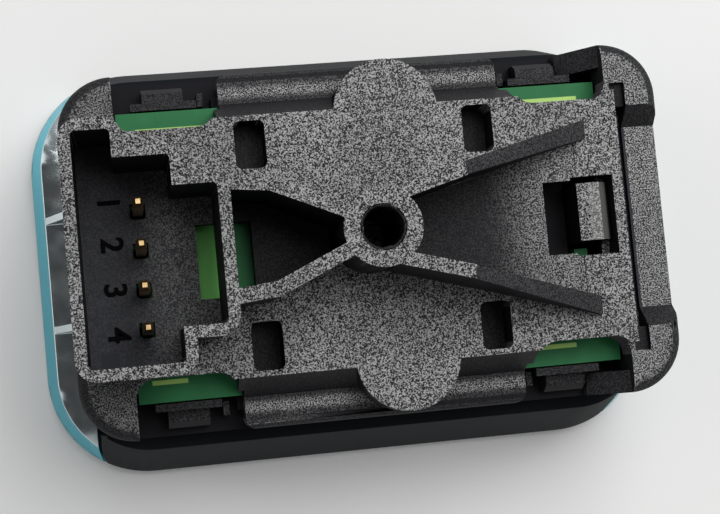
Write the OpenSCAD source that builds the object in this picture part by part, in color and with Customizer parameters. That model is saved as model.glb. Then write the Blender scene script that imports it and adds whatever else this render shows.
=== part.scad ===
// Passenger window switch, lying on its front face with the connector side up.
// X runs along the switch, Y across it, and Z rises from the front face.

/* [Front] */
// Length over the end trims
front_l = 44.2; // [43.8:0.1:46]
// Width over the key skirts
front_w = 28.9; // [28.5:0.1:31]
// Corner radius of the front outline
front_r = 7.2; // [6.6:0.1:7.8]
// Height of the key skirts
skirt_h = 8.8; // [8:0.1:9]
// How far the key skirts lean in over their height
flank_lean = 1.8; // [1:0.1:2]
// Height of the upright band at the front edge
edge_band = 1.1; // [0.6:0.1:1.6]
// Bevel round the front edge
edge_bevel = 0.6; // [0.3:0.1:0.8]

/* [Trims] */
// Length of a trim at the height of the pivot, with its running gap
trim_l = 3.5; // [3.3:0.1:3.8]
// Height of the trims' lip
trim_h = 4.8; // [4.2:0.1:5.2]
// How far a trim's flank leans in up to its lip
trim_lean = 0.85; // [0.5:0.05:1]
// Width of the trims' lip
lip_w = 1.3; // [1:0.1:1.5]
// Spacing of the tabs that hold a trim
tab_pitch = 7.7; // [6:0.1:9]
// Thickness of the tabs
tab_w = 0.5; // [0.4:0.05:0.8]

/* [Rocker key] */
// How far the key's face lies below the rims of the trims
key_recess = 0.5; // [0.3:0.1:0.8]
// Thickness of the key's face
key_plate = 1.8; // [1.7:0.1:2]
// Height of the pivot above the front face
pivot_z = 4.6; // [4.5:0.05:4.9]
// Diameter of the moulded pivot pins
pivot_d = 2.4; // [2:0.1:2.5]
// Travel of the key to each side, in degrees
key_tilt = 6; // [4:0.5:6]
// Radius of the finger scoop
scoop_r = 26; // [24:0.5:32]
// Depth of the finger scoop
scoop_depth = 0.9; // [0.4:0.1:1.1]
// Distance from the middle to the finger scoop's axis
scoop_x = 7.5; // [6:0.1:9]
// Length of the finger scoop across the key
scoop_w = 19; // [14:0.5:21]
// Width of the symbol on the key
symbol_w = 5; // [4:0.1:6]

/* [Cover] */
// Margin between the outline of the trims and the ends of the cover
end_margin = 2.25; // [2.1:0.05:2.5]
// Offset of the cover along the switch
cover_x = 0.3; // [0:0.05:0.3]
// Width of the cover
cover_w = 23.4; // [23.2:0.1:24.3]
// Corner radius of the cover
cover_r = 3.6; // [3:0.1:4.2]
// Thickness of the cover's walls
cover_wall = 1.2; // [1:0.05:1.3]
// Thickness of the main plane
plate_t = 1.2; // [1:0.05:1.4]
// Height of the cover's lower edge
seat_z = 12.2; // [12.1:0.1:13]
// Height of the side ledges above the cover's lower edge
ledge_h = 2.8; // [2.8:0.05:3.2]
// Height of the main plane above the cover's lower edge
main_h = 5.6; // [5.4:0.1:6]
// Drop from the main plane to the corner lugs
lug_drop = 0.9; // [0.6:0.1:1.1]
// Drop from the main plane to the end strip
strip_drop = 2.4; // [2.1:0.1:2.5]
// Width of the rounded-off outer edge
edge_w = 1.05; // [0.7:0.05:1.1]
// Height of the rounded-off outer edge
edge_h = 0.8; // [0.5:0.05:0.9]
// Width of the main plane
main_w = 16.7; // [16.5:0.1:17]
// Width of the slope from the main plane to a side ledge
slope_w = 1.25; // [1.2:0.05:1.5]
// Length of the side channels
channel_l = 18.7; // [18.2:0.1:19]
// Radius of the round pads
pad_r = 3.4; // [2.8:0.1:3.5]
// Offset of the round pads along the switch
pad_x = 1.5; // [0:0.1:3]

/* [Windows] */
// Distance from the cover's middle to the near end of a corner window
window_near = 9.75; // [9.6:0.05:10]
// Distance from the cover's middle to the far end of a corner window
window_far = 16.25; // [16:0.05:16.4]
// Distance from the middle line to the inner edge of a corner window
window_y = 7.85; // [7.7:0.05:8.2]
// Corner radius of the corner windows
window_r = 1.3; // [0.8:0.1:1.6]
// Spacing of the four square holes along the switch
hole_pitch_x = 14.9; // [14:0.1:16]
// Spacing of the four square holes across the switch
hole_pitch_y = 12.9; // [12.4:0.1:13.1]
// Length of a square hole along the switch
hole_l = 2; // [1.4:0.1:2.2]
// Width of a square hole across the switch
hole_w = 3.1; // [2.4:0.1:3.2]
// Length of the latch window
latch_l = 4.7; // [4.5:0.1:4.9]
// Width of the latch window
latch_w = 5.2; // [4.8:0.1:5.6]
// Offset of the latch window across the switch
latch_y = 0.15; // [0:0.05:0.3]

/* [Socket] */
// Height of the socket, the ribs and the boss above the main plane
shroud_h = 6.2; // [5.4:0.1:7]
// Thickness of the socket's walls
shroud_wall = 0.75; // [0.6:0.05:0.8]
// Thickness of the socket's floor
floor_t = 1; // [0.8:0.05:1.1]
// Drop from the main plane to the socket's floor
floor_drop = 1.4; // [1.3:0.05:1.5]
// Spacing of the pins
pin_pitch = 2.54; // [2:0.01:2.6]
// Side of a square pin
pin_side = 0.64; // [0.5:0.01:0.66]
// How far the pin tips stay below the socket's rim
pin_drop = 1.5; // [1:0.1:2.5]
// Side of the square clearance holes in the socket's floor
pin_hole = 1; // [0.9:0.05:1.2]

/* [Boss and ribs] */
// Outer diameter of the screw boss
boss_d = 4.9; // [4.4:0.1:5.4]
// Diameter of the screw hole
bore_d = 2.4; // [2:0.1:2.6]
// Diameter of the countersink at the mouth of the screw hole
mouth_d = 2.9; // [2.8:0.05:3.2]
// Depth of the screw hole
bore_depth = 8; // [6:0.1:8]
// Thickness of the ribs
rib_t = 0.85; // [0.7:0.05:1]
// Distance from the middle to the point where the end ribs start to fall
ramp_x = 5.05; // [4.5:0.05:6]
// Distance from the middle to the end of the ribs
ramp_end_x = 14.45; // [13.5:0.05:15]
// Distance from the middle line to the end of the ribs
ramp_end_y = 5.8; // [5.4:0.05:6]

/* [Board] */
// Thickness of the circuit board
board_t = 1.2; // [1:0.05:1.25]
// Height of the board's underside above the cover's lower edge
board_lift = 1.4; // [1.3:0.05:1.4]
// Width of the board between the corner tabs
board_w = 16.4; // [15.8:0.1:16.5]
// Width of the board over its corner tabs
board_tab_w = 18.9; // [18.4:0.1:19.1]

/* [Mechanism] */
// Distance from the pivot to each plunger
plunger_x = 6.5; // [6:0.1:7]
// Width of the plunger's stem along the switch
stem_l = 2; // [1.6:0.1:2.4]
// Length of the plunger's stem across the switch
stem_w = 7; // [6:0.1:8]
// Spacing of a pair of domes across the switch
dome_pitch = 6.4; // [5.6:0.1:6.8]
// Height of the domes below their web
dome_h = 1.5; // [1.4:0.05:1.6]
// Thickness of the mat's web
web_t = 0.5; // [0.4:0.05:0.6]

/* [Fits] */
// Clearance between parts that are fixed together
fixed_gap = 0.1; // [0.05:0.01:0.15]
// Clearance between parts that slide
slide_gap = 0.12; // [0.1:0.01:0.2]
// Clearance between the moving key and the fixed parts
key_gap = 0.35; // [0.3:0.01:0.5]
// Clearance between the ends of the key and the trims
trim_gap = 0.22; // [0.2:0.01:0.4]
// Radial clearance of the pivot pins in their bores
pivot_gap = 0.05; // [0.02:0.01:0.09]

/* [Hidden] */
$fn = 64;
eps = 0.01;

// Levels
main_z = seat_z + main_h;
rim_z = main_z + shroud_h;
ledge_z = seat_z + ledge_h;
lug_z = main_z - lug_drop;
strip_z = main_z - strip_drop;
floor_z = main_z - floor_drop;
board_z = seat_z + board_lift;
board_top = board_z + board_t;
board_roof = board_top + 0.15;
flange_t = 1;
key_reach = front_l / 2 - trim_l;
flange_z = seat_z - flange_t;
deck_z = 9.2;
deck_t = 1;
deck_top = deck_z + deck_t;
web_z = board_z - web_t;
dome_z = web_z - dome_h;
key_inner_z = key_recess + key_plate;

// Places on the cover
boss_x = -0.35;
cover_l = front_l - 2 * end_margin;
plane_end_x = cover_x + cover_l / 2 - 3.3;
plane_start_x = cover_x - window_far;
trench_w = 1.05;
trench_depth = 0.5;
trench_over = 0.6;
edge_steps = 4;
lug_y = 6.1;
lug_step = 1.3;
ledge_corner = 0.7;
wedge_l = 2.25;
wedge_t = 1.5;
latch_x = 11.45;
latch_end_x = latch_x + latch_l;
catch_t = 0.75;
field_depth = 0.25;
field_run = 3;
pocket_wall = 0.35;
pocket_floor_t = 0.5;
pin_x = -14.9;
pin_count = 4;
pin_mid_y = -0.95;

// Socket plan: three steps that key the plug, as [right side, low y, high y]
socket_left = -18.6;
socket_steps = [[-16.25, -7.05, 7.15], [-12.85, -7.05, 5.4], [-10.15, -4.95, 3.5]];
socket_right = socket_steps[2][0];

// Inner size of the cover and of what stands in it
cover_in_l = cover_l - 2 * cover_wall;
cover_in_w = cover_w - 2 * cover_wall;
ring_l = cover_in_l - 2 * fixed_gap;
ring_w = cover_in_w - 2 * fixed_gap;
ring_r = cover_r - cover_wall;
well_l = cover_l - 5.7;
well_w = 15.2;
side_wall_y = 11;
side_wall_t = 1.4;
skirt_in_y = side_wall_y + 0.4;

// The flank of the front outline, as [inset, height] points
flank_profile = [
    [edge_bevel, 0], [0, edge_bevel], [0, edge_bevel + edge_band],
    [flank_lean, skirt_h]
];

// Inset and height points of an edge rounded as a quarter of an ellipse
function round_edge(w, h, top) = [
    for (i = [0:edge_steps])
        let (turn = 90 * i / edge_steps) [w * (1 - cos(turn)), top - h * (1 - sin(turn))]
];

module at_cover() {
    translate([cover_x, 0, 0]) children();
}

module two_sides() {
    children();
    mirror([0, 1, 0]) children();
}

module four_corners() {
    two_sides() children();
    mirror([1, 0, 0]) two_sides() children();
}

// A rectangle between two corners with rounded corners
module round_rect(x0, y0, x1, y1, r) {
    translate([x0 + r, y0]) square([x1 - x0 - 2 * r, y1 - y0]);
    translate([x0, y0 + r]) square([x1 - x0, y1 - y0 - 2 * r]);
    for (x = [x0 + r, x1 - r], y = [y0 + r, y1 - r]) translate([x, y]) circle(r);
}

// A rounded block whose side follows [inset, height] points
module profiled_block(l, w, r, profile) {
    low = profile[0][1];
    high = profile[len(profile) - 1][1];
    for (x = [r - l / 2, l / 2 - r], y = [r - w / 2, w / 2 - r])
        translate([x, y, 0])
            rotate_extrude()
                polygon(concat([[0, high], [0, low]], [for (p = profile) [r - p[0], p[1]]]));
    rotate([90, 0, 0])
        linear_extrude(w - 2 * r, center = true)
            side_outline(l / 2, profile);
    rotate([90, 0, 90])
        linear_extrude(l - 2 * r, center = true)
            side_outline(w / 2, profile);
}

module side_outline(half, profile) {
    last = len(profile) - 1;
    polygon(concat(
        [for (p = profile) [half - p[0], p[1]]],
        [for (i = [last:-1:0]) [profile[i][0] - half, profile[i][1]]]
    ));
}

// A plain rounded block from one height to another
module rounded_block(l, w, r, z0, z1) {
    translate([0, 0, z0])
        linear_extrude(z1 - z0)
            round_rect(-l / 2, -w / 2, l / 2, w / 2, r);
}

// A box given by its lowest and highest corners
module span_box(low, high) {
    translate(low) cube(high - low);
}

// An outline in X and Z, extruded between two Y values
module side_prism(points, y0, y1) {
    translate([0, y1, 0])
        rotate([90, 0, 0])
            linear_extrude(y1 - y0) polygon(points);
}

// An outline in Y and Z, extruded between two X values
module end_prism(points, x0, x1) {
    translate([x0, 0, 0])
        rotate([90, 0, 90])
            linear_extrude(x1 - x0) polygon(points);
}

// The drum about the pivot that the ends of the key run along
module pivot_drum(r, w) {
    translate([0, 0, pivot_z])
        rotate([90, 0, 0])
            cylinder(h = w, r = r, center = true, $fn = 128);
}

// Cover

function cover_edge(top) = concat([[0, seat_z]], round_edge(edge_w, edge_h, top));

// End bands of the cover, with the lugs and the lower strip between them
module cover_ends() {
    difference() {
        at_cover() profiled_block(cover_l, cover_w, cover_r, cover_edge(lug_z));
        span_box([plane_start_x, -cover_w, 0], [cover_x + window_far, cover_w, rim_z]);
        end_prism([
            [-lug_y, strip_z], [lug_y, strip_z],
            [lug_y + lug_step, lug_z + eps], [-lug_y - lug_step, lug_z + eps]
        ], window_far - 1, cover_l);
    }
}

// Middle of the cover: main plane, slopes and side ledges, cut along the channels
module cover_middle() {
    half = cover_w / 2;
    side = concat(
        [[half, seat_z]],
        [for (p = round_edge(edge_w, edge_h, ledge_z)) [half - p[0], p[1]]],
        [[main_w / 2 + slope_w, ledge_z], [main_w / 2, main_z]]
    );
    other_side = [for (i = [len(side) - 1:-1:0]) [-side[i][0], side[i][1]]];
    at_cover()
        intersection() {
            end_prism(concat(side, other_side), -window_near, window_near);
            union() {
                rounded_block(channel_l, cover_w, ledge_corner, 0, rim_z);
                span_box([-window_near, -window_y - window_r, board_roof],
                         [window_near, window_y + window_r, rim_z]);
            }
        }
}

// Corners of the main plane that round off into the windows
module window_fillets() {
    at_cover()
        four_corners() {
            span_box([window_near - eps, window_y - eps, board_roof],
                     [window_near + window_r, main_w / 2, main_z]);
            span_box([window_far - window_r, window_y - eps, board_roof],
                     [window_far + eps, window_y + window_r, lug_z]);
        }
}

// Main plane between the window rows
module main_plane() {
    span_box([plane_start_x, -window_y, board_roof], [plane_end_x, window_y, main_z]);
    span_box([cover_x + window_far - 1, -main_w / 2, board_roof],
             [plane_end_x, main_w / 2, main_z]);
}

module round_pads() {
    two_sides()
        translate([pad_x, main_w / 2 - 0.32, ledge_z - plate_t])
            cylinder(h = main_z - ledge_z + plate_t, r = pad_r);
}

// Low walls in the windows beside the end lugs, falling away from the lugs
module window_wedges() {
    at_cover()
        two_sides()
            side_prism([
                [window_far + eps, seat_z], [window_far - wedge_l, seat_z],
                [window_far - wedge_l, seat_z + 1], [window_far + eps, lug_z - edge_h]
            ], cover_w / 2 - wedge_t, cover_w / 2);
}

// Hollow under the cover's planes
module cover_hollow() {
    inner_start_x = cover_x - cover_in_l / 2;
    at_cover() {
        rounded_block(cover_in_l, cover_in_w, ring_r, seat_z - 1, strip_z - plate_t);
        // Room under the lugs, beyond the windows
        intersection() {
            rounded_block(cover_in_l, cover_in_w, ring_r, seat_z - 1, lug_z - plate_t);
            four_corners()
                span_box([window_far + 1, lug_y + lug_step + 0.4, 0],
                         [cover_l, cover_w, rim_z]);
        }
    }
    // Room under the main plane
    span_box([inner_start_x, -window_y + 1, seat_z - 1],
             [plane_end_x - 1, window_y - 1, main_z - plate_t]);
    // Room round the board
    span_box([inner_start_x, -board_w / 2 - fixed_gap, seat_z - 1],
             [board_end_x + fixed_gap, board_w / 2 + fixed_gap, board_roof]);
}

// End walls that close the side channels towards the windows
module channel_walls() {
    for (x = [cover_x - channel_l / 2, cover_x + channel_l / 2 - 1])
        two_sides()
            span_box([x, board_w / 2 + 2 * fixed_gap, seat_z + board_lift + 0.1],
                     [x + 1, cover_w / 2 - cover_wall + eps, ledge_z - plate_t + eps]);
}

module corner_windows() {
    at_cover()
        four_corners()
            translate([0, 0, seat_z - 1])
                linear_extrude(main_h + 2)
                    round_rect(window_near, window_y, window_far, cover_w, window_r);
}

// Plan of the socket, grown outwards by a wall
module socket_plan(grow, r) {
    for (s = socket_steps)
        round_rect(socket_left - grow, s[1] - grow, s[0] + grow, s[2] + grow, r);
}

module socket_walls() {
    translate([0, 0, floor_z - floor_t])
        linear_extrude(rim_z - floor_z + floor_t) socket_plan(shroud_wall, 1.3);
}

// A straight rib standing between two points of the plan
module rib(a, b, t, z0, z1) {
    d = b - a;
    translate([a[0], a[1], z0])
        rotate([0, 0, atan2(d[1], d[0])])
            translate([0, -t / 2, 0]) cube([norm(d), t, z1 - z0]);
}

pocket_bend = [-7.05, 3.2];
pocket_start = [socket_right + shroud_wall / 2, 3.45];
pocket_end = [-2, 0.95];

// Ribs that close the pocket between the socket and the boss
module pocket_ribs() {
    two_sides() {
        rib(pocket_start, pocket_bend, rib_t + 0.1, floor_z - floor_t, rim_z);
        rib(pocket_bend, pocket_end, rib_t + 0.1, floor_z - floor_t, rim_z);
        translate([pocket_bend[0], pocket_bend[1], floor_z - floor_t])
            cylinder(h = rim_z - floor_z + floor_t, d = rib_t + 0.1);
    }
}

rib_slope = (ramp_end_y - 2.1) / (ramp_end_x - 1.2);
function rib_y(x) = 2.1 + rib_slope * (x - 1.2);
foot_lip = 0.55;

// Ribs from the boss towards the end, full height first and then falling to the plane
module end_ribs() {
    two_sides() {
        rib([0.6, rib_y(0.6)], [ramp_x, rib_y(ramp_x)], rib_t, main_z - plate_t, rim_z);
        intersection() {
            side_prism([
                [ramp_x - 0.1, main_z - plate_t], [ramp_end_x, main_z - plate_t],
                [ramp_end_x, main_z + foot_lip], [ramp_x, rim_z], [ramp_x - 0.1, rim_z]
            ], 0, cover_w / 2);
            translate([0, 0, main_z - plate_t])
                linear_extrude(shroud_h + plate_t)
                    polygon([
                        [ramp_x - 0.1, rib_y(ramp_x) - rib_t / 2],
                        [ramp_end_x, ramp_end_y - rib_t * 0.72],
                        [ramp_end_x, ramp_end_y + rib_t * 0.72],
                        [ramp_x - 0.1, rib_y(ramp_x) + rib_t / 2]
                    ]);
        }
    }
}

module boss() {
    translate([boss_x, 0, floor_z - floor_t])
        cylinder(h = rim_z - floor_z + floor_t, d = boss_d);
}

module screw_hole() {
    mouth_h = (mouth_d - bore_d) / 2;
    translate([boss_x, 0, rim_z - bore_depth]) cylinder(h = bore_depth + 1, d = bore_d);
    translate([boss_x, 0, rim_z - mouth_h])
        cylinder(h = mouth_h, d1 = bore_d, d2 = mouth_d);
}

// Deep pocket between the ribs, beside the socket
module pocket_hollow() {
    inner = (rib_t + 0.1) / 2;
    x0 = socket_right + shroud_wall;
    translate([0, 0, floor_z])
        linear_extrude(shroud_h + floor_drop + 1)
            polygon([
                [x0, pocket_start[1] - inner], [pocket_bend[0], pocket_bend[1] - inner],
                [pocket_end[0], pocket_end[1] - inner],
                [pocket_end[0], inner - pocket_end[1]],
                [pocket_bend[0], inner - pocket_bend[1]], [x0, inner - pocket_start[1]]
            ]);
}

// Shallow sunk field between the end ribs, running out towards the latch window
module sunk_field() {
    x0 = 2.6;
    x1 = latch_end_x - 2.4;
    gap = 0.45;
    intersection() {
        translate([0, 0, main_z - 1])
            linear_extrude(2)
                polygon([
                    [x0, rib_y(x0) - gap], [x1, rib_y(x1) - gap],
                    [x1, gap - rib_y(x1)], [x0, gap - rib_y(x0)]
                ]);
        side_prism([
            [x0 - 1, main_z - field_depth], [x1 - field_run, main_z - field_depth],
            [x1 + 1, main_z - 0.04], [x1 + 1, rim_z], [x0 - 1, rim_z]
        ], -cover_w / 2, cover_w / 2);
    }
}

// Trench between the end of the main plane and the strip and lugs beyond it
module end_trench() {
    lug_in = lug_y + lug_step;
    span_box([plane_end_x, -lug_in, strip_z - trench_depth],
             [plane_end_x + trench_w, lug_in, rim_z]);
    span_box([plane_end_x, -main_w / 2 - trench_over, lug_z - trench_depth],
             [plane_end_x + trench_w, main_w / 2 + trench_over, rim_z]);
}

module at_square_holes() {
    for (x = [-hole_pitch_x / 2, hole_pitch_x / 2], y = [-hole_pitch_y / 2, hole_pitch_y / 2])
        translate([x, y, 0]) children();
}

// Walls and floors that make blind pockets of the square holes
module hole_pockets() {
    half = [hole_l / 2 + pocket_wall, hole_w / 2 + pocket_wall, 0];
    at_square_holes()
        span_box([-half[0], -half[1], board_roof], [half[0], half[1], main_z - 0.2]);
}

module square_holes() {
    at_square_holes()
        translate([0, 0, board_roof + pocket_floor_t])
            linear_extrude(main_h)
                round_rect(-hole_l / 2, -hole_w / 2, hole_l / 2, hole_w / 2, 0.4);
}

module latch_window() {
    step_x = latch_x + 1.9;
    translate([0, latch_y, 0]) {
        span_box([latch_x, -latch_w / 2 + 0.2, seat_z],
                 [step_x + eps, latch_w / 2 - 0.2, rim_z]);
        span_box([step_x, -latch_w / 2, seat_z], [latch_end_x, latch_w / 2, rim_z]);
    }
}

// Ledge below the plane that the latch hook catches on
module latch_catch() {
    translate([0, latch_y, 0])
        span_box([latch_end_x - 0.55, -latch_w / 2 - 0.3, board_roof],
                 [latch_end_x + 0.3, latch_w / 2 + 0.3, board_roof + catch_t]);
}

module pin_holes() {
    for (i = [0:pin_count - 1])
        translate([pin_x, pin_y(i), floor_z])
            cube([pin_hole, pin_hole, 2 * floor_t + 1], center = true);
}

function pin_y(i) = pin_mid_y + pin_pitch * ((pin_count - 1) / 2 - i);

// Slot in the socket's floor that runs on under its wall into the pocket
module board_slot() {
    span_box([socket_right - 1.2, -3.1, floor_z - floor_t - 1],
             [socket_right + shroud_wall + 1.65, 1.7, floor_z + eps]);
}

// The cover's walls and planes, without what stands on them
module cover_shell() {
    difference() {
        union() {
            cover_ends();
            cover_middle();
            main_plane();
            window_fillets();
            round_pads();
        }
        cover_hollow();
        corner_windows();
        sunk_field();
        end_trench();
    }
    window_wedges();
}

module base_cover() {
    color("#1d1d1f")
    difference() {
        union() {
            difference() {
                union() {
                    cover_shell();
                    socket_walls();
                    pocket_ribs();
                    pocket_floor();
                    hole_pockets();
                }
                translate([0, 0, floor_z]) linear_extrude(rim_z) socket_plan(0, 0.3);
                pocket_hollow();
                board_slot();
            }
            channel_walls();
            latch_catch();
            end_ribs();
            boss();
        }
        pin_holes();
        screw_hole();
        square_holes();
        difference() {
            latch_window();
            latch_catch();
        }
    }
}

module pocket_floor() {
    span_box([socket_right, -pocket_start[1], floor_z - floor_t],
             [boss_x, pocket_start[1], floor_z + eps]);
}

// Circuit board

board_start_x = -17.6;
board_end_x = plane_end_x - 0.85;
notch_x = latch_x + 0.3;
notch_w = latch_w + 0.5;
tongue = [0.9, 0.9];
board_tab_l = window_far - channel_l / 2 - 2.5 * fixed_gap;

module board_outline() {
    difference() {
        union() {
            translate([board_start_x, -board_w / 2])
                square([board_end_x - board_start_x, board_w]);
            for (x = [-channel_l / 2 - fixed_gap - board_tab_l, channel_l / 2 + fixed_gap])
                translate([cover_x + x, -board_tab_w / 2])
                    square([board_tab_l, board_tab_w]);
        }
        translate([notch_x, latch_y - notch_w / 2]) square([board_end_x, notch_w]);
        for (i = [0:pin_count - 1]) translate([pin_x, pin_y(i)]) circle(d = pin_side * 1.5);
    }
    // Tongue beside the hook's arm
    translate([hook_x0 + 2 * fixed_gap, latch_y - notch_w / 2 - eps]) square(tongue);
}

module circuit_board() {
    color("#1f7a48") translate([0, 0, board_z]) linear_extrude(board_t) board_outline();
}

// Square pin with a bevelled tip
module terminal_pin(i) {
    tip = 0.7;
    tail = 0.7;
    z0 = board_z - tail;
    z1 = rim_z - pin_drop;
    half = pin_side / 2;
    outline = [
        [-half, z0], [half, z0], [half, z1 - tip], [half * 0.45, z1],
        [-half * 0.45, z1], [-half, z1 - tip]
    ];
    color("#c9a24a")
        translate([pin_x, pin_y(i), 0])
            intersection() {
                side_prism(outline, -half, half);
                end_prism(outline, -half, half);
            }
}

chip_size = [5, 4, 1.2];
resistor_size = [1.6, 0.8, 0.5];
capacitor_size = [2, 1.25, 0.9];
led_size = [2.4, 1.6, 1];
guide_x = 10.4;
guide_d = 2.6;
chip_x = 5.4;
resistor_x = -4.9;
resistor_y = 5.2;
resistor_pitch = 2.4;
capacitor_x = -3.2;

module control_chip() {
    color("#222326")
        translate([chip_x, 0, board_top + chip_size[2] / 2]) cube(chip_size, center = true);
}

module coding_resistors() {
    color("#3a3a3d")
        for (i = [0:3])
            translate([resistor_x + resistor_pitch * i, resistor_y,
                       board_top + resistor_size[2] / 2])
                cube(resistor_size, center = true);
}

module capacitor() {
    color("#b79a72")
        translate([capacitor_x, -resistor_y, board_top + capacitor_size[2] / 2])
            cube(capacitor_size, center = true);
}

module led(x) {
    color("#f2eecb")
        translate([x, 0, board_z - led_size[2] / 2]) cube(led_size, center = true);
}

// Mechanism under the board

mat_l = 18;
mat_w = 13.6;
pad_d = 3;
pill_d = 1.8;
pill_t = 0.5;
dome_foot_d = 4.6;
dome_tip_d = 3.2;
dome_wall = 0.4;

module at_domes(x) {
    for (y = [-dome_pitch / 2, dome_pitch / 2]) translate([x, y, 0]) children();
}

module contact_pads() {
    thick = 0.05;
    color("#c9a24a")
        for (x = [-plunger_x, plunger_x])
            at_domes(x)
                translate([0, 0, board_z - thick]) cylinder(h = thick, d = pad_d);
}

module dome_mat() {
    color("#8f9498")
    difference() {
        union() {
            rounded_block(mat_l, mat_w, 1.2, web_z, board_z - 0.05 - eps);
            for (x = [-plunger_x, plunger_x])
                at_domes(x)
                    translate([0, 0, dome_z])
                        cylinder(h = dome_h, d1 = dome_tip_d, d2 = dome_foot_d);
        }
        for (x = [-plunger_x, plunger_x])
            at_domes(x)
                translate([0, 0, dome_z + dome_wall])
                    cylinder(h = dome_h + web_t, d1 = dome_tip_d - 2 * dome_wall,
                             d2 = dome_foot_d - dome_wall);
        translate([0, 0, board_z - led_size[2] / 2])
            cube(led_size + [0.6, 0.6, 0.6], center = true);
    }
}

module contact_pills(x) {
    color("#2b2b2e")
        at_domes(x)
            translate([0, 0, dome_z + dome_wall]) cylinder(h = pill_t, d = pill_d);
}

plunger_head_t = 0.6;
plunger_head_over = [0.7, 1.7];
leg_gap = 0.3;
leg_h = 2.8;
plunger_foot_z = key_inner_z + leg_h + leg_gap;

module plunger(x) {
    head = [stem_l / 2 + plunger_head_over[0], dome_pitch / 2 + plunger_head_over[1]];
    color("#e9e6dc")
        translate([x, 0, 0]) {
            span_box([-head[0], -head[1], dome_z - plunger_head_t], [head[0], head[1], dome_z]);
            span_box([-stem_l / 2, -stem_w / 2, plunger_foot_z],
                     [stem_l / 2, stem_w / 2, dome_z - plunger_head_t + eps]);
        }
}

module light_guide() {
    foot = board_z - led_size[2] - 0.3;
    color("#dfe6ea") {
        translate([guide_x, 0, key_inner_z + 2])
            cylinder(h = foot - key_inner_z - 2, d = guide_d);
        translate([guide_x, 0, deck_top + fixed_gap])
            cylinder(h = foot - deck_top - fixed_gap, d = guide_d + 0.6);
    }
}

// Housing

hook_x0 = latch_x + 2.3;
hook_w = 3.8;
hook_y = latch_y + 0.3;
hook_arm_l = 1.3;
hook_root_x = notch_x + 0.4;
snap_mid_x = (window_near + window_far) / 2 - 0.35;
snap_bar = [4.3, 0.5];
snap_block = [2.7, 1.15];
snap_post = [0.4, 0.9];

// Tongues with outward hooks that snap into the corner windows
module window_hooks() {
    y0 = board_tab_w / 2 + fixed_gap;
    y1 = y0 + snap_bar[1];
    y2 = y1 + snap_block[1];
    top = board_top + fixed_gap;
    half_bar = snap_bar[0] / 2;
    half_block = snap_block[0] / 2;
    post_x = snap_mid_x - half_bar - snap_post[0] - 0.1;
    four_corners() {
        span_box([snap_mid_x - half_bar, y0, flange_z], [snap_mid_x + half_bar, y1, top]);
        end_prism([
            [y1 - eps, seat_z - eps], [y2, seat_z - eps], [y2, top - 1.7],
            [y2 - 0.4, top - 0.9], [y1 - eps, top - 0.8]
        ], snap_mid_x - half_block, snap_mid_x + half_block);
        span_box([post_x, y0 + 0.2, flange_z],
                 [post_x + snap_post[0], y0 + 0.2 + snap_post[1], top - 1]);
    }
}

// Arm with the hook that shows in the latch window
module end_hook() {
    top = main_z - 0.35;
    nose = latch_end_x - fixed_gap;
    catch_top = board_roof + catch_t + fixed_gap;
    translate([0, hook_y, 0])
        side_prism([
            [hook_x0, flange_z], [hook_x0 + hook_arm_l, flange_z],
            [hook_x0 + hook_arm_l, catch_top], [nose, catch_top], [nose, top - 0.75],
            [nose - 0.75, top], [hook_x0, top]
        ], -hook_w / 2, hook_w / 2);
    // Foot plate that closes the near part of the latch window
    translate([0, latch_y, 0])
        span_box([hook_root_x, -notch_w / 2 + fixed_gap, flange_z],
                 [hook_x0 + eps, notch_w / 2 - fixed_gap, board_z + 0.4]);
}

// Side walls that carry the pivot, with a lower edge that clears the rocking key
module pivot_walls() {
    rise = wall_reach * tan(key_tilt);
    low = key_inner_z + key_gap;
    two_sides()
        side_prism([
            [-wall_reach, low + rise], [0, low], [wall_reach, low + rise],
            [wall_reach, flange_z], [-wall_reach, flange_z]
        ], side_wall_y - side_wall_t, side_wall_y);
}

end_wall_t = 1.6;
end_wall_h = 2.6;
wall_reach = key_reach - end_wall_t - 0.5;
end_block_z = 7.8;

// Blocks under the ends of the flange, which hold the tabs of the trims
module end_blocks() {
    half_w = cover_w / 2 - cover_r;
    for (s = [0, 1])
        mirror([s, 0, 0])
            span_box([wall_reach - 0.5, -half_w, end_block_z],
                     [key_reach, half_w, flange_z + eps]);
}

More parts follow.
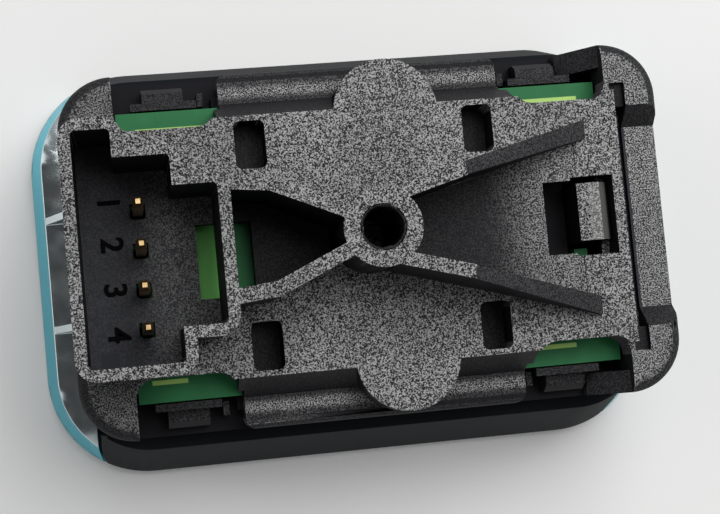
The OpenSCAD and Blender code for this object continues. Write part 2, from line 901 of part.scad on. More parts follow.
module upper_housing() {
    color("#232325")
    difference() {
        union() {
            // Flange that the cover sits on
            difference() {
                at_cover() rounded_block(cover_l, cover_w, cover_r, flange_z, seat_z);
                rounded_block(well_l, well_w, 1.5, flange_z - 1, seat_z + 1);
            }
            // Ring that carries the board inside the cover
            difference() {
                at_cover()
                    rounded_block(ring_l, ring_w, ring_r - fixed_gap, seat_z - eps, board_z);
                rounded_block(well_l, well_w, 1.5, seat_z - 1, board_z + 1);
                housing_window_cuts();
            }
            // Deck that guides the plungers, and its walls up to the flange
            rounded_block(well_l + 1.6, well_w + 1.6, 1.5, deck_z, deck_top);
            difference() {
                rounded_block(well_l + 1.6, well_w + 1.6, 1.5, deck_z, flange_z + eps);
                rounded_block(well_l, well_w, 1.5, deck_z + eps, flange_z + 1);
            }
            two_sides()
                span_box([-wall_reach, well_w / 2, deck_z],
                         [wall_reach, side_wall_y, deck_top]);
            pivot_walls();
            end_blocks();
            window_hooks();
            end_hook();
            hook_root();
        }
        // Bores for the key's pivot pins
        translate([0, 0, pivot_z])
            rotate([90, 0, 0])
                cylinder(h = cover_w + 2, d = pivot_d + 2 * pivot_gap, center = true);
        // Guide slots for the plungers
        for (x = [-plunger_x, plunger_x])
            span_box([x - stem_l / 2 - slide_gap, -stem_w / 2 - slide_gap, deck_z - 1],
                     [x + stem_l / 2 + slide_gap, stem_w / 2 + slide_gap, deck_top + eps]);
        // Hole for the light guide
        translate([guide_x, 0, deck_z - 1])
            cylinder(h = deck_t + 1 + eps, d = guide_d + 2 * fixed_gap);
        trim_slots();
    }
}

// Root of the hook's arm on the deck's end wall
module hook_root() {
    translate([0, latch_y, 0])
        span_box([hook_root_x, -notch_w / 2 + fixed_gap, deck_top - eps],
                 [hook_x0 + hook_arm_l, notch_w / 2 - fixed_gap, flange_z + eps]);
}

// Room in the ring below the corner windows, so that the hooks stand free
module housing_window_cuts() {
    at_cover()
        four_corners()
            span_box([window_near, board_tab_w / 2 - 0.7, seat_z],
                     [window_far + fixed_gap, cover_w, board_z + 1]);
}

// Key

module key_body() {
    intersection() {
        profiled_block(front_l, front_w, front_r, flank_profile);
        pivot_drum(key_reach, front_w + 1);
        span_box([-front_l, -front_w, key_recess], [front_l, front_w, skirt_h]);
    }
}

// Room inside the key, between its skirts and end walls
module key_hollow() {
    // Between the skirts, over the whole length
    span_box([-front_l, -skirt_in_y, key_inner_z + end_wall_h],
             [front_l, skirt_in_y, skirt_h + 1]);
    // Between the end walls
    intersection() {
        pivot_drum(key_reach - end_wall_t, 2 * skirt_in_y);
        span_box([-front_l, -skirt_in_y, key_inner_z], [front_l, skirt_in_y, skirt_h + 1]);
    }
}

// Finger scoop across the face
module key_face_cuts() {
    translate([-scoop_x, 0, key_recess + scoop_depth - scoop_r])
        rotate([90, 0, 0])
            cylinder(h = scoop_w, r = scoop_r, center = true, $fn = 160);
}

module pivot_pins() {
    two_sides()
        translate([0, skirt_in_y + 0.2, pivot_z])
            rotate([90, 0, 0])
                cylinder(h = side_wall_t + 0.5, d = pivot_d);
}

key_leg_t = 1.6;
key_rib_t = 0.8;
key_rib_reach = key_reach - 5;

// Legs that press the plungers, and the ribs that join them
module key_legs() {
    low = key_inner_z - 0.2;
    for (x = [-plunger_x, plunger_x])
        span_box([x - key_leg_t / 2, -stem_w / 2, low],
                 [x + key_leg_t / 2, stem_w / 2, plunger_foot_z - leg_gap]);
    two_sides()
        side_prism([
            [-key_rib_reach, low], [key_rib_reach, low], [key_rib_reach, key_inner_z + 0.8],
            [plunger_x, key_inner_z + 1.9], [-plunger_x, key_inner_z + 1.9],
            [-key_rib_reach, key_inner_z + 0.8]
        ], stem_w / 2 + 0.7, stem_w / 2 + 0.7 + key_rib_t);
}

symbol_x = guide_x;
symbol_line = 0.6;
symbol_pane = 2;
symbol_gap = 0.6;
symbol_t = 0.8;

// Plain window pictogram: a pane above a sill line
module symbol_outline(grow) {
    translate([-symbol_pane / 2, 0])
        square([symbol_pane + 2 * grow, symbol_w + 2 * grow], center = true);
    translate([symbol_gap + symbol_line / 2, 0])
        square([symbol_line + 2 * grow, symbol_w + 2 * grow], center = true);
}

// Plate behind the pictogram that joins its two marks
module symbol_plate(grow) {
    half = symbol_w / 2;
    translate([-symbol_pane - grow, -half - grow])
        square([symbol_pane + symbol_gap + symbol_line + 2 * grow, symbol_w + 2 * grow]);
}

module rocker_key() {
    color("#1a1a1c")
    difference() {
        union() {
            difference() {
                key_body();
                key_hollow();
                key_face_cuts();
            }
            pivot_pins();
            key_legs();
        }
        translate([symbol_x, 0, key_recess - eps])
            linear_extrude(symbol_t + fixed_gap) symbol_outline(fixed_gap / 2);
        translate([symbol_x, 0, key_recess + symbol_t])
            linear_extrude(key_plate) symbol_plate(fixed_gap / 2);
    }
}

module symbol_lens() {
    color("#eef2f4") {
        translate([symbol_x, 0, key_recess])
            linear_extrude(symbol_t + fixed_gap + eps) symbol_outline(0);
        translate([symbol_x, 0, key_recess + symbol_t + fixed_gap])
            linear_extrude(key_plate - symbol_t - 2 * fixed_gap) symbol_plate(0);
    }
}

// Trims

tab_top_z = skirt_h + 1;
tab_low_z = end_block_z + 0.4;
tab_reach = wall_reach + 0.1;
trim_profile = [
    [edge_bevel, 0], [0, edge_bevel], [0, edge_bevel + edge_band],
    [trim_lean, trim_h], [trim_lean + lip_w, trim_h + 0.25]
];

// Tab that rises from a trim's lip and runs into its slot in the housing
module trim_tab() {
    outer = front_l / 2 - trim_lean - 0.1;
    inner = key_reach + trim_gap + eps;
    side_prism([
        [outer, trim_h - 0.4], [outer, trim_h + 0.3], [key_reach + 0.7, tab_top_z],
        [tab_reach, tab_top_z], [tab_reach, tab_low_z], [inner, tab_low_z],
        [inner, trim_h - 0.4]
    ], -tab_w / 2, tab_w / 2);
}

// One trim: the end of the front outline outside the drum that the key turns in
module end_trim() {
    difference() {
        profiled_block(front_l, front_w, front_r, trim_profile);
        pivot_drum(key_reach + trim_gap, front_w + 1);
        span_box([-front_l, -front_w, -1], [key_reach - 4, front_w, rim_z]);
    }
    for (y = [-tab_pitch / 2, tab_pitch / 2]) translate([0, y, 0]) trim_tab();
}

// Slots in the housing that the trim tabs lie in
module trim_slots() {
    half = tab_w / 2 + fixed_gap;
    for (s = [0, 1], y = [-tab_pitch / 2, tab_pitch / 2])
        mirror([s, 0, 0])
            span_box([tab_reach - fixed_gap, y - half, 0],
                     [front_l / 2, y + half, tab_top_z + fixed_gap]);
}

module left_trim() {
    color("#d5dadd") mirror([1, 0, 0]) end_trim();
}

module right_trim() {
    color("#d5dadd") end_trim();
}

base_cover();
upper_housing();
rocker_key();
left_trim();
right_trim();
circuit_board();
terminal_pin(0);  // terminal_pin_1
terminal_pin(1);  // terminal_pin_2
terminal_pin(2);  // terminal_pin_3
terminal_pin(3);  // terminal_pin_4
dome_mat();
plunger(-plunger_x);  // plunger_open
plunger(plunger_x);  // plunger_close
contact_pills(-plunger_x);  // contact_pills_open
contact_pills(plunger_x);  // contact_pills_close
contact_pads();
light_guide();
symbol_lens();
led(guide_x);  // led_key
led(0);  // led_locator
control_chip();
coding_resistors();
capacitor();
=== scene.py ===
"""Looks of a power window switch that lies on its front face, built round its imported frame.

X runs along the switch away from the socket, Y across it, and Z rises from the front face.
Lengths are in millimetres here, and mm() turns them into Blender's metres.
"""

import math

import bpy
from mathutils import Matrix, Vector


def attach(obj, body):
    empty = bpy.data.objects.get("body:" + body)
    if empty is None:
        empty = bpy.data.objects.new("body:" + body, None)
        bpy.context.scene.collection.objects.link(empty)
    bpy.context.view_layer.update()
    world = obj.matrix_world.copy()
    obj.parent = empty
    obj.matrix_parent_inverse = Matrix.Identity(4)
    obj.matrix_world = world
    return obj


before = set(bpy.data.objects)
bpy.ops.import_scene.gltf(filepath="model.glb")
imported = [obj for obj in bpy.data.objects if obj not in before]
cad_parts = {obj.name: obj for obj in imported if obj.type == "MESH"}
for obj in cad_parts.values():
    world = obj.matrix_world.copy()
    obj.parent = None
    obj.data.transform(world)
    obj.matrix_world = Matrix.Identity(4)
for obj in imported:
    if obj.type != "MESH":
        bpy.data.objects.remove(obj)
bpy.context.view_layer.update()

# Camera: its bearing in degrees, and its distance from the point it looks at
CAMERA_AZIMUTH = 66.4
CAMERA_ELEVATION = 80.79
CAMERA_ROLL = 61.33
CAMERA_DISTANCE = 102.8
CAMERA_AIM = (-1.09, -1.33, 18.0)
CAMERA_LENS = 80.26
SENSOR_WIDTH = 36.0
NEAREST_SEEN = 5
FARTHEST_SEEN = 20000

# Room: its level as a fill light, and its levels as the camera and reflections see it. The
# fades are in the Z and in the Y of a direction.
FILL_LEVEL = 0.3
HORIZON_LEVEL = 0.6
ZENITH_LEVEL = 0.05
SIDE_LEVEL = 0.4
HORIZON_FADE = (0.25, 0.8)
SIDE_RISE = (0.22, 0.42)
ROOM_TINT = (0.97, 0.985, 1.0)

# Lamps: name, direction, distance, width and depth, and power in watts
LAMPS = (("key_light", (0.3, 0.45, 1.0), 460, (380, 380), 2.2),
         ("side_light", (-1.0, 0.2, 0.7), 900, (500, 700), 1.0))
LIT_HEIGHT = 12

# Floor
FLOOR_COLOR = (0.77, 0.77, 0.76)
FLOOR_RADIUS = 3000
FLOOR_CORNERS = 128
FLOOR_CLOUD_SIZE = 400.0

# Colours of what the photograph shows
GRAIN_DARK = (0.014, 0.014, 0.016)
# Painted glints: the pale colour of the grain's specks
SPECK_PAINTED_GLINT = (0.26, 0.26, 0.255)
# Painted light: a paler ground where shade falls in the deep socket and trench
DEEP_PAINTED_LIGHT = (0.03, 0.031, 0.036)
HOUSING_BLACK = (0.01, 0.01, 0.012)
NOSE_GREY = (0.1, 0.1, 0.095)
KEY_BLACK = (0.009, 0.01, 0.012)
DIGIT_BLACK = (0.002, 0.002, 0.002)
MASK_GREEN = (0.022, 0.16, 0.055)
# Painted light: paler green where the socket's walls shade the board
SLOT_PAINTED_LIGHT_GREEN = (0.2, 0.62, 0.15)
STRIPE_GREEN = (0.4, 0.62, 0.17)
BRIGHT_TRIM = (0.72, 0.8, 0.82)
TEAL_TRIM = (0.42, 0.6, 0.65)
TEAL_EDGE = (0.33, 0.74, 0.84)
WHITE = (1, 1, 1)
GOLD = (0.48, 0.33, 0.16)

# Colours of the hidden pieces
SILICONE_GREY = (0.42, 0.44, 0.45)
NATURAL_WHITE = (0.78, 0.77, 0.72)
CARBON_BLACK = (0.025, 0.025, 0.027)
CLEAR = (0.92, 0.95, 0.96)
SYMBOL_WHITE = (0.82, 0.85, 0.86)
LAMP_RESIN = (0.85, 0.82, 0.62)
CHIP_BLACK = (0.02, 0.02, 0.022)
CERAMIC_TAN = (0.42, 0.3, 0.18)

# Spark grain: its size and height, the range of noise that its bright specks take, and the
# levels of gloss from the dark ground to the specks. The specks' pale colour is painted glints.
GRAIN_SIZE = 0.095
GRAIN_HEIGHT = 0.03
GRAIN_PATCHES = 0.12
SPECK_RANGE = (0.4, 0.66)
SPECK_CLOUDING = (0.85, 1.1)
GRAIN_CLOUD_SIZE = 6.0
GRAIN_GLOSS = (0.04, 1.0)
GRAIN_ROUGHNESS = 0.45
SMOOTH_SKIN = 0.1

# How far faces turn up, as the Z of their normal: where a finish starts, and where it is full.
# The cover's grain, with its painted glints, is full on level faces, and weaker by a share on
# ramps and slopes.
LEVEL_FACES = (0.9, 0.985)
RAMP_FACES = (0.78, 0.84)
RAMP_GRAIN = 0.17
SLOPE_FACES = (0.25, 0.6)
SLOPE_GRAIN = 0.12
HOOK_FACES = (0.85, 0.95)
WORN_FACES = (0.2, 0.5)
KEY_FACE = (-0.4, -0.9)
TRIM_FLANKS = (0.6, 0.35)

# Gloss and roughness of finishes that vary
KEY_FLANK_GLOSS = 0.05
KEY_FACE_GLOSS = 0.4
KEY_FLANK_ROUGHNESS = 0.6
KEY_FACE_ROUGHNESS = 0.34
TRIM_ROUGHNESS = (0.12, 0.2)
GOLD_ROUGHNESS = (0.27, 0.43)
CHIP_ROUGHNESS = (0.45, 0.57)
COVER_ROUGHNESS = 0.5
HOUSING_ROUGHNESS = 0.45

# Noise values that a cloudy pattern runs between
CLOUD = (0.3, 0.7)

# Places on the cover whose grain is weaker: low and high corner, fade in X, Y and Z, the share
# of the grain that is lost, and whether the place repeats in all four quarters of the plan.
# Losing the pale specks darkens these places: partly a smoother skin, and partly painted shade
# in recesses, holes and shaded corners.
SUNK_FIELD = ((2.2, -5.6, 17.4), (7, 5.6, 17.74), (6, 0.05, 0.03), 0.93, False)
SOCKET = ((-19, -7.3, 16.2), (-10, 7.3, 16.6), (0.05, 0.05, 0.1), 0.6, False)
SOCKET_LEFT = ((-19, -7.3, 16.2), (-15.5, 7.3, 16.6), (3, 0.05, 0.1), 0.75, False)
POCKET = ((-9.5, -3.6, 16.2), (-1.5, 3.6, 16.6), (0.05, 0.05, 0.1), 0.95, False)
TRENCH = ((16.8, -6.3, 14), (18.05, 6.3, 17.6), (0.03, 0.2, 0.05), 0.97, False)
TRENCH_ENDS = ((16.8, 6.1, 16.2), (17.95, 9, 16.5), (0.03, 0.2, 0.05), 0.95, True)
LEFT_LUGS = ((-20, -12, 15), (-15.8, 12, 17.2), (0.4, 0.05, 0.1), 0.3, False)
HOLE_FLOORS = ((6.2, 4.7, 15.3), (8.7, 8.2, 16), (0.05, 0.05, 0.1), 0.95, True)
LEDGE_INNER = ((-1, 8.3, 14.9), (9.8, 9.75, 15.1), (0.05, 0.45, 0.05), 0.85, True)
LEDGE_OUTER = ((-1, 10.85, 14.8), (9.8, 12, 15.1), (0.05, 0.4, 0.05), 0.8, True)
DULL_AND_SHADED_PLACES = (SUNK_FIELD, SOCKET, SOCKET_LEFT, POCKET, TRENCH, TRENCH_ENDS, LEFT_LUGS,
               HOLE_FLOORS, LEDGE_INNER, LEDGE_OUTER)

# Places on other nodes: low and high corner, and fade. The posts have a share of the grain.
HOOK_TOP = ((13.5, -2, 17.2), (15.3, 3, 17.8), (0.3, 0.1, 0.1))
HOOK_NOSE = ((14.6, -2, 16.2), (15.8, 3, 17.8), (0.1, 0.1, 0.1))
SNAP_POSTS = ((10, 9.4, 13), (15.5, 12, 15), (0.1, 0.1, 0.1))
# Painted light: where the board is painted paler in the slot's shade
PAINTED_LIGHT_SLOT = ((-12.2, -3.4, 14), (-10, 2, 15), (0.1, 0.1, 0.1))
SNAP_GRAIN = 0.12

# Heights just below the trim's lip where the teal of its flank starts, and where it is full
TRIM_LIP = (4.75, 4.65)

# Pale stripes on the board: where each starts and ends along X, and its Y
PALE_STRIPES = ((-14.55, -9.4, 8.22), (10.6, 15.1, 8.42), (10.5, 13.4, -8.2), (-14.8, -12.6, -8.15))
STRIPE_HALF_WIDTH = 0.12
STRIPE_FADE = (0.1, 0.06, 0.1)
BOARD_HEIGHTS = (14, 15)

# Edges: the radius of each node's edges, the least angle in degrees that is rounded or shaded
# sharp, the most that counts as flat, and how close the points are that become one
COVER_ROUNDING = 0.07
HOUSING_ROUNDING = 0.06
TRIM_ROUNDING = 0.2
KEY_ROUNDING = 0.12
ROUNDED_ANGLE = 35
SHARP_ANGLE = 30.5
FLAT_ANGLE = 0.5
WELD_DISTANCE = 0.002

# Pin numbers on the socket's floor: their X, the Y of each, their form, and where they stand
DIGIT_X = -16.75
DIGIT_ROWS = (3.55, 0.85, -2.05, -4.9)
DIGIT_SIZE = 2.0
DIGIT_STROKE = 0.02
DIGIT_HEIGHT = 0.06
DIGIT_BEVEL = 0.02
DIGIT_Z = 16.45


def mm(*values):
    """Millimetres as metres: one number, or a vector."""
    if len(values) == 1:
        return values[0] * 0.001
    return Vector(values) * 0.001


# Shader nodes


def node(tree_owner, kind, inputs=None, **settings):
    """Adds a shader node. Each input is a value, or the socket that feeds it."""
    made = tree_owner.node_tree.nodes.new(kind)
    for name, value in settings.items():
        setattr(made, name, value)
    for name, value in (inputs or {}).items():
        if isinstance(value, bpy.types.NodeSocket):
            feed(tree_owner, made.inputs[name], value)
        else:
            made.inputs[name].default_value = value
    return made


def feed(tree_owner, socket, source):
    """Links an output to an input."""
    tree_owner.node_tree.links.new(source, socket)


def surface(name, color, roughness=0.5, metallic=0.0, specular=0.5):
    """A new material and its shader node."""
    material = bpy.data.materials.new(name)
    material.use_nodes = True
    shader = material.node_tree.nodes["Principled BSDF"]
    shader.inputs["Base Color"].default_value = opaque(color)
    shader.inputs["Roughness"].default_value = roughness
    shader.inputs["Metallic"].default_value = metallic
    shader.inputs["Specular IOR Level"].default_value = specular
    return material, shader


def opaque(color):
    """A colour with full alpha. A socket stays as it is."""
    if isinstance(color, bpy.types.NodeSocket):
        return color
    return (*color, 1)


def shade(color, share):
    """A colour made darker or paler by one factor."""
    return tuple(share * value for value in color)


def places(material):
    """Object coordinates, which are metres in the frame."""
    return node(material, "ShaderNodeTexCoord").outputs["Object"]


def separate(material, vector):
    """The X, Y and Z outputs of a vector."""
    return node(material, "ShaderNodeSeparateXYZ", {"Vector": vector}).outputs


def noise(material, size, detail=2.0, roughness=0.5, seed=0.0):
    """A noise pattern whose features are about size millimetres across."""
    made = node(material, "ShaderNodeTexNoise", {
        "Vector": places(material), "W": seed, "Scale": 1 / mm(size), "Detail": detail,
        "Roughness": roughness,
    }, noise_dimensions="4D")
    return made.outputs["Fac"]


def remap(material, source, low, high, to_low=0.0, to_high=1.0):
    """Maps low to high of a value smoothly on to another range."""
    made = node(material, "ShaderNodeMapRange", {
        "Value": source, "From Min": low, "From Max": high, "To Min": to_low, "To Max": to_high,
    }, interpolation_type="SMOOTHSTEP")
    return made.outputs["Result"]


def calculate(material, operation, first, second=0.0):
    """One sum on two values."""
    made = node(material, "ShaderNodeMath", {0: first, 1: second}, operation=operation)
    return made.outputs[0]


def mix(material, factor, first, second):
    """The first colour where the factor is 0, and the second where it is 1."""
    made = node(material, "ShaderNodeMix", {0: factor, 6: opaque(first), 7: opaque(second)},
                data_type="RGBA")
    return made.outputs[2]


def blend_value(material, factor, first, second):
    """The first value where the factor is 0, and the second where it is 1."""
    made = node(material, "ShaderNodeMix", {0: factor, 2: first, 3: second}, data_type="FLOAT")
    return made.outputs[0]


def bump(material, shader, height, depth):
    """Bumps the surface by a height pattern, depth millimetres deep."""
    made = node(material, "ShaderNodeBump", {"Height": height, "Distance": mm(depth)})
    feed(material, shader.inputs["Normal"], made.outputs["Normal"])


def upward(material):
    """1 where the surface faces up, 0 where it stands upright and -1 where it faces down."""
    return separate(material, node(material, "ShaderNodeNewGeometry").outputs["Normal"])["Z"]


def facing_up(material, low, high):
    """1 where the surface faces up by more than high, falling to 0 at low."""
    return remap(material, upward(material), low, high)


def box_mask(material, low, high, fade, mirrored=False):
    """1 inside a box of millimetres, falling to 0 over the fade outside it.

    A mirrored box repeats in all four quarters of the plan.
    """
    coordinates = separate(material, places(material))
    inside = 1.0
    for axis, bottom, top, soft in zip("XYZ", low, high, fade):
        coordinate = coordinates[axis]
        if mirrored and axis != "Z":
            coordinate = calculate(material, "ABSOLUTE", coordinate)
        rising = remap(material, coordinate, mm(bottom - soft), mm(bottom))
        falling = remap(material, coordinate, mm(top), mm(top + soft), 1.0, 0.0)
        inside = calculate(material, "MULTIPLY", inside, rising)
        inside = calculate(material, "MULTIPLY", inside, falling)
    return inside


def weaken(material, value, mask, loss):
    """Takes a share of a value away where the mask is 1."""
    kept = calculate(material, "SUBTRACT", 1.0, calculate(material, "MULTIPLY", mask, loss))
    return calculate(material, "MULTIPLY", value, kept)


# Materials


def spark_grain(material, shader, grained, dark, smooth_roughness):
    """Fine grain where grained is 1, its pale specks painted glints, and a smooth dark skin
    where it is 0.
    """
    grain = noise(material, GRAIN_SIZE, detail=1.0, roughness=0.6)
    patch = noise(material, 4 * GRAIN_SIZE, detail=1.0, seed=3.0)
    cloud = noise(material, GRAIN_CLOUD_SIZE, detail=1.0, seed=7.0)
    uneven = calculate(material, "SUBTRACT", patch, 0.5)
    raised = calculate(material, "ADD", grain,
                       calculate(material, "MULTIPLY", uneven, GRAIN_PATCHES))
    specks = calculate(material, "MULTIPLY", remap(material, raised, *SPECK_RANGE),
                       remap(material, cloud, *CLOUD, *SPECK_CLOUDING))
    # The specks' pale base colour is painted glints; their gloss is the grain's own.
    glint_specks = calculate(material, "MULTIPLY", specks, grained)
    feed(material, shader.inputs["Base Color"], mix(material, glint_specks, dark, SPECK_PAINTED_GLINT))
    feed(material, shader.inputs["Specular IOR Level"], blend_value(material, glint_specks, *GRAIN_GLOSS))
    feed(material, shader.inputs["Roughness"],
         blend_value(material, grained, smooth_roughness, GRAIN_ROUGHNESS))
    relief = remap(material, grained, 0.0, 1.0, SMOOTH_SKIN, 1.0)
    bump(material, shader, calculate(material, "MULTIPLY", grain, relief), GRAIN_HEIGHT)


def grained_black():
    """Black moulding: spark grain with painted glints where it faces up, satin where it leans,
    and painted shade and a painted paler ground where it lies deep.
    """
    material, shader = surface("grained_black", GRAIN_DARK)
    level = facing_up(material, *LEVEL_FACES)
    ramp = calculate(material, "MULTIPLY", facing_up(material, *RAMP_FACES), RAMP_GRAIN)
    slope = calculate(material, "MULTIPLY", facing_up(material, *SLOPE_FACES), SLOPE_GRAIN)
    grained = calculate(material, "MAXIMUM", level, calculate(material, "MAXIMUM", ramp, slope))
    # Painted shade: the grain's pale specks are taken away where shade falls.
    for low, high, fade, loss, mirrored in DULL_AND_SHADED_PLACES:
        grained = weaken(material, grained, box_mask(material, low, high, fade, mirrored), loss)
    # Painted light: a paler ground in the deep socket and trench
    deep = calculate(material, "MAXIMUM", box_mask(material, *SOCKET[:3]),
                     box_mask(material, *TRENCH[:3]))
    dark = mix(material, deep, GRAIN_DARK, DEEP_PAINTED_LIGHT)
    spark_grain(material, shader, grained, dark, COVER_ROUGHNESS)
    return material


def housing_black():
    """Smooth black moulding, with grain on the latch hook and a little on the snap posts."""
    material, shader = surface("housing_black", HOUSING_BLACK)
    posts = calculate(material, "MULTIPLY", box_mask(material, *SNAP_POSTS, mirrored=True),
                      SNAP_GRAIN)
    tops = calculate(material, "MAXIMUM", box_mask(material, *HOOK_TOP), posts)
    grained = calculate(material, "MULTIPLY", tops, facing_up(material, *HOOK_FACES))
    worn = calculate(material, "MULTIPLY", box_mask(material, *HOOK_NOSE),
                     facing_up(material, *WORN_FACES))
    dark = mix(material, worn, HOUSING_BLACK, NOSE_GREY)
    spark_grain(material, shader, grained, dark, HOUSING_ROUGHNESS)
    return material


def key_black():
    """Satin black on the key's face, and matte on its flanks."""
    material, shader = surface("satin_black", KEY_BLACK)
    face = remap(material, upward(material), *KEY_FACE)
    feed(material, shader.inputs["Specular IOR Level"],
         blend_value(material, face, KEY_FLANK_GLOSS, KEY_FACE_GLOSS))
    feed(material, shader.inputs["Roughness"],
         blend_value(material, face, KEY_FLANK_ROUGHNESS, KEY_FACE_ROUGHNESS))
    bump(material, shader, noise(material, 0.1, detail=3.0, roughness=0.6), depth=0.01)
    return material


def chip_black():
    """Black moulded package with a very fine skin."""
    material, shader = surface("chip_black", CHIP_BLACK, specular=0.25)
    skin = noise(material, 0.08, detail=3.0, roughness=0.6)
    cloud = remap(material, noise(material, 6.0, seed=2.0), *CLOUD)
    feed(material, shader.inputs["Base Color"],
         mix(material, cloud, CHIP_BLACK, shade(CHIP_BLACK, 1.5)))
    feed(material, shader.inputs["Roughness"], remap(material, skin, *CLOUD, *CHIP_ROUGHNESS))
    bump(material, shader, skin, depth=0.01)
    return material


def bright_plating():
    """Bright plated plastic, slightly wavy. Its steep flanks below the lip are tinted teal."""
    material, shader = surface("bright_plating", BRIGHT_TRIM, metallic=1.0)
    steep = remap(material, calculate(material, "ABSOLUTE", upward(material)), *TRIM_FLANKS)
    height = separate(material, places(material))["Z"]
    below_lip = remap(material, height, mm(TRIM_LIP[0]), mm(TRIM_LIP[1]))
    flank = calculate(material, "MULTIPLY", steep, below_lip)
    feed(material, shader.inputs["Base Color"], mix(material, flank, BRIGHT_TRIM, TEAL_TRIM))
    feed(material, shader.inputs["Specular Tint"], mix(material, flank, WHITE, TEAL_EDGE))
    feed(material, shader.inputs["Roughness"],
         remap(material, noise(material, 1.5, detail=3.0), *CLOUD, *TRIM_ROUGHNESS))
    bump(material, shader, noise(material, 4.0, detail=1.0, roughness=0.4), depth=0.05)
    return material


def board_mask():
    """Green solder mask, paler as painted light in the socket's slot, with pale stripes near the
    long edges.
    """
    material, shader = surface("board_mask", MASK_GREEN, 0.5, specular=0.15)
    cloud = remap(material, noise(material, 2.5), *CLOUD)
    color = mix(material, cloud, shade(MASK_GREEN, 0.8), MASK_GREEN)
    # Painted light: the board is paler in the socket's slot, where the walls shade it.
    color = mix(material, box_mask(material, *PAINTED_LIGHT_SLOT), color, SLOT_PAINTED_LIGHT_GREEN)
    low, high = BOARD_HEIGHTS
    for start, end, y in PALE_STRIPES:
        stripe = box_mask(material, (start, y - STRIPE_HALF_WIDTH, low),
                         (end, y + STRIPE_HALF_WIDTH, high), STRIPE_FADE)
        color = mix(material, stripe, color, STRIPE_GREEN)
    feed(material, shader.inputs["Base Color"], color)
    bump(material, shader, noise(material, 0.25), depth=0.01)
    return material


def gold_plating():
    """Gold plating with a slightly uneven shine."""
    material, shader = surface("gold_plating", GOLD, metallic=1.0)
    feed(material, shader.inputs["Roughness"],
         remap(material, noise(material, 0.2, detail=3.0), *CLOUD, *GOLD_ROUGHNESS))
    bump(material, shader, noise(material, 0.3), depth=0.01)
    return material


def soft_plastic(name, color, roughness, grain_size):
    """Natural moulding, resin or silicone, with slight clouding."""
    material, shader = surface(name, color, roughness)
    cloud = remap(material, noise(material, 8 * grain_size), *CLOUD)
    feed(material, shader.inputs["Base Color"], mix(material, cloud, shade(color, 0.85), color))
    bump(material, shader, noise(material, grain_size, detail=3.0), depth=0.02)
    return material


def clear_moulding():
    """Clear plastic."""
    material, shader = surface("clear_moulding", CLEAR, 0.12)
    shader.inputs["Transmission Weight"].default_value = 0.8
    bump(material, shader, noise(material, 1.0), depth=0.01)
    return material


def paint(finish, *names):
    """Gives CAD nodes one material."""
    for name in names:
        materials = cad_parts[name].data.materials
        materials.clear()
        materials.append(finish)


def paint_nodes():
    """Gives every CAD node its finish."""
    paint(grained_black(), "base_cover")
    paint(housing_black(), "upper_housing")
    paint(key_black(), "rocker_key")
    paint(bright_plating(), "left_trim", "right_trim")
    paint(board_mask(), "circuit_board")
    paint(gold_plating(), "terminal_pin_1", "terminal_pin_2", "terminal_pin_3",
          "terminal_pin_4", "contact_pads")
    paint(soft_plastic("silicone_grey", SILICONE_GREY, 0.6, 0.2), "dome_mat")
    paint(soft_plastic("natural_white", NATURAL_WHITE, 0.45, 0.2), "plunger_open",
          "plunger_close")
    paint(soft_plastic("carbon_pill", CARBON_BLACK, 0.55, 0.1), "contact_pills_open",
          "contact_pills_close")
    paint(clear_moulding(), "light_guide")
    paint(soft_plastic("symbol_white", SYMBOL_WHITE, 0.35, 0.3), "symbol_lens")
    paint(soft_plastic("lamp_resin", LAMP_RESIN, 0.25, 0.2), "led_key", "led_locator")
    paint(chip_black(), "control_chip", "coding_resistors")
    paint(soft_plastic("ceramic_tan", CERAMIC_TAN, 0.4, 0.1), "capacitor")


# Edges


def smoothing_group():
    """Geometry nodes that shade smooth, except across edges that turn sharply."""
    group = bpy.data.node_groups.new("smooth_shading", "GeometryNodeTree")
    group.is_modifier = True
    for way in ("INPUT", "OUTPUT"):
        group.interface.new_socket("Geometry", in_out=way, socket_type="NodeSocketGeometry")
    start = group.nodes.new("NodeGroupInput")
    end = group.nodes.new("NodeGroupOutput")
    faces = group.nodes.new("GeometryNodeSetShadeSmooth")
    edges = group.nodes.new("GeometryNodeSetShadeSmooth")
    edges.domain = "EDGE"
    edges.inputs["Shade Smooth"].default_value = False
    angle = group.nodes.new("GeometryNodeInputMeshEdgeAngle")
    sharp = group.nodes.new("FunctionNodeCompare")
    sharp.inputs[1].default_value = math.radians(SHARP_ANGLE)
    group.links.new(start.outputs[0], faces.inputs["Geometry"])
    group.links.new(faces.outputs[0], edges.inputs["Geometry"])
    group.links.new(angle.outputs["Unsigned Angle"], sharp.inputs[0])
    group.links.new(sharp.outputs[0], edges.inputs["Selection"])
    group.links.new(edges.outputs[0], end.inputs[0])
    return group


def round_edges(name, radius, segments=2):
    """Joins a node's flat triangles into faces and rounds its sharp edges."""
    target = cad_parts[name]
    weld = target.modifiers.new("weld", "WELD")
    weld.merge_threshold = mm(WELD_DISTANCE)
    flatten = target.modifiers.new("flatten", "DECIMATE")
    flatten.decimate_type = "DISSOLVE"
    flatten.angle_limit = math.radians(FLAT_ANGLE)
    rounding = target.modifiers.new("rounding", "BEVEL")
    rounding.width = mm(radius)
    rounding.segments = segments
    rounding.limit_method = "ANGLE"
    rounding.angle_limit = math.radians(ROUNDED_ANGLE)
    rounding.use_clamp_overlap = True
    return target, rounding


def shade_curves(target, smoothing):
    """Shades a node's curved faces smooth."""
    shading = target.modifiers.new("shading", "NODES")
    shading.node_group = smoothing
    weighing = target.modifiers.new("weighing", "WEIGHTED_NORMAL")
    weighing.keep_sharp = True


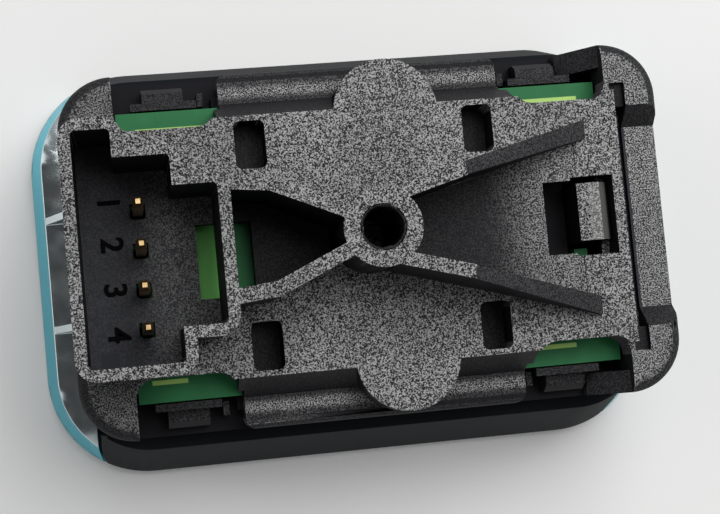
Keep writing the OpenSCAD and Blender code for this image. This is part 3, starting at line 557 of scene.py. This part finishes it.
def soften_nodes():
    """Rounds the edges that show, and smooths the nodes with large curved faces."""
    for name, radius in (("base_cover", COVER_ROUNDING), ("upper_housing", HOUSING_ROUNDING)):
        rounding = round_edges(name, radius)[1]
        rounding.harden_normals = True
    smoothing = smoothing_group()
    for name in ("left_trim", "right_trim"):
        shade_curves(round_edges(name, TRIM_ROUNDING, segments=3)[0], smoothing)
    shade_curves(round_edges("rocker_key", KEY_ROUNDING)[0], smoothing)


# Details


def digit_mesh(text):
    """A number as a raised mesh in the plane of X and Y, its middle at the origin."""
    curve = bpy.data.curves.new("digit", "FONT")
    curve.body = text
    curve.size = mm(DIGIT_SIZE)
    curve.offset = mm(DIGIT_STROKE)
    curve.extrude = mm(DIGIT_HEIGHT)
    curve.bevel_depth = mm(DIGIT_BEVEL)
    curve.align_x = "CENTER"
    curve.align_y = "CENTER"
    source = bpy.data.objects.new("digit", curve)
    bpy.context.scene.collection.objects.link(source)
    bpy.context.view_layer.update()
    mesh = bpy.data.meshes.new_from_object(
        source.evaluated_get(bpy.context.evaluated_depsgraph_get()))
    bpy.data.objects.remove(source)
    return mesh


def add_digits():
    """Raised pin numbers on the socket's floor, their tops towards the pins."""
    material = surface("digit_black", DIGIT_BLACK, 0.6, specular=0.02)[0]
    turn = Matrix.Rotation(math.radians(-90), 4, "Z")
    for number, y in enumerate(DIGIT_ROWS, start=1):
        mesh = digit_mesh(str(number))
        mesh.transform(Matrix.Translation(mm(DIGIT_X, y, DIGIT_Z)) @ turn)
        mesh.materials.clear()
        mesh.materials.append(material)
        digit = bpy.data.objects.new(f"socket_digit_{number}", mesh)
        bpy.context.scene.collection.objects.link(digit)
        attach(digit, "housing")


# Setting


def add_floor():
    """A wide pale floor under the switch."""
    bpy.ops.mesh.primitive_circle_add(vertices=FLOOR_CORNERS, radius=mm(FLOOR_RADIUS),
                                      fill_type="NGON")
    floor = bpy.context.object
    floor.name = "floor"
    material, shader = surface("floor_paper", FLOOR_COLOR, 0.7, specular=0.2)
    cloud = remap(material, noise(material, FLOOR_CLOUD_SIZE), *CLOUD)
    feed(material, shader.inputs["Base Color"],
         mix(material, cloud, shade(FLOOR_COLOR, 0.97), FLOOR_COLOR))
    floor.data.materials.append(material)


def add_world():
    """A weak even fill. What is seen or reflected is a pale room, dark overhead along X."""
    world = bpy.data.worlds.new("studio")
    bpy.context.scene.world = world
    world.use_nodes = True
    background = world.node_tree.nodes["Background"]
    background.inputs["Color"].default_value = opaque(ROOM_TINT)
    direction = separate(world, node(world, "ShaderNodeTexCoord").outputs["Generated"])
    sideways = calculate(world, "ABSOLUTE", direction["Y"])
    low_down = remap(world, direction["Z"], *HORIZON_FADE, HORIZON_LEVEL, ZENITH_LEVEL)
    beside = remap(world, sideways, *SIDE_RISE, ZENITH_LEVEL, SIDE_LEVEL)
    room = calculate(world, "MAXIMUM", low_down, beside)
    rays = node(world, "ShaderNodeLightPath").outputs
    shown = calculate(world, "MAXIMUM", rays["Is Camera Ray"], rays["Is Glossy Ray"])
    shown = calculate(world, "MAXIMUM", shown, rays["Is Transmission Ray"])
    feed(world, background.inputs["Strength"], blend_value(world, shown, FILL_LEVEL, room))


def add_lamp(name, direction, distance, size, power):
    """A soft rectangular lamp that looks at the switch from a direction."""
    data = bpy.data.lights.new(name, "AREA")
    data.shape = "RECTANGLE"
    data.size, data.size_y = mm(size[0]), mm(size[1])
    data.energy = power
    lamp = bpy.data.objects.new(name, data)
    bpy.context.scene.collection.objects.link(lamp)
    away = Vector(direction).normalized()
    lamp.location = away * mm(distance) + mm(0, 0, LIT_HEIGHT)
    lamp.rotation_mode = "QUATERNION"
    lamp.rotation_quaternion = away.to_track_quat("Z", "Y")


def add_camera():
    """The camera that took the photograph, as fitted to the switch."""
    azimuth = math.radians(CAMERA_AZIMUTH)
    elevation = math.radians(CAMERA_ELEVATION)
    ahead = Vector((math.sin(azimuth) * math.cos(elevation),
                    math.cos(azimuth) * math.cos(elevation), -math.sin(elevation)))
    right = Vector((math.cos(azimuth), -math.sin(azimuth), 0))
    up = right.cross(ahead)
    turn = Matrix.Rotation(-math.radians(CAMERA_ROLL), 3, ahead)
    right, up = turn @ right, turn @ up
    data = bpy.data.cameras.new("camera")
    data.lens = CAMERA_LENS
    data.sensor_width = SENSOR_WIDTH
    data.sensor_fit = "HORIZONTAL"
    data.clip_start = mm(NEAREST_SEEN)
    data.clip_end = mm(FARTHEST_SEEN)
    camera = bpy.data.objects.new("camera", data)
    bpy.context.scene.collection.objects.link(camera)
    rotation = Matrix((right, up, -ahead)).transposed()
    place = mm(*CAMERA_AIM) - ahead * mm(CAMERA_DISTANCE)
    camera.matrix_world = Matrix.Translation(place) @ rotation.to_4x4()
    bpy.context.scene.camera = camera


paint_nodes()
soften_nodes()
add_digits()
add_floor()
add_world()
for lamp_settings in LAMPS:
    add_lamp(*lamp_settings)
add_camera()
bpy.context.scene.view_settings.view_transform = "Standard"
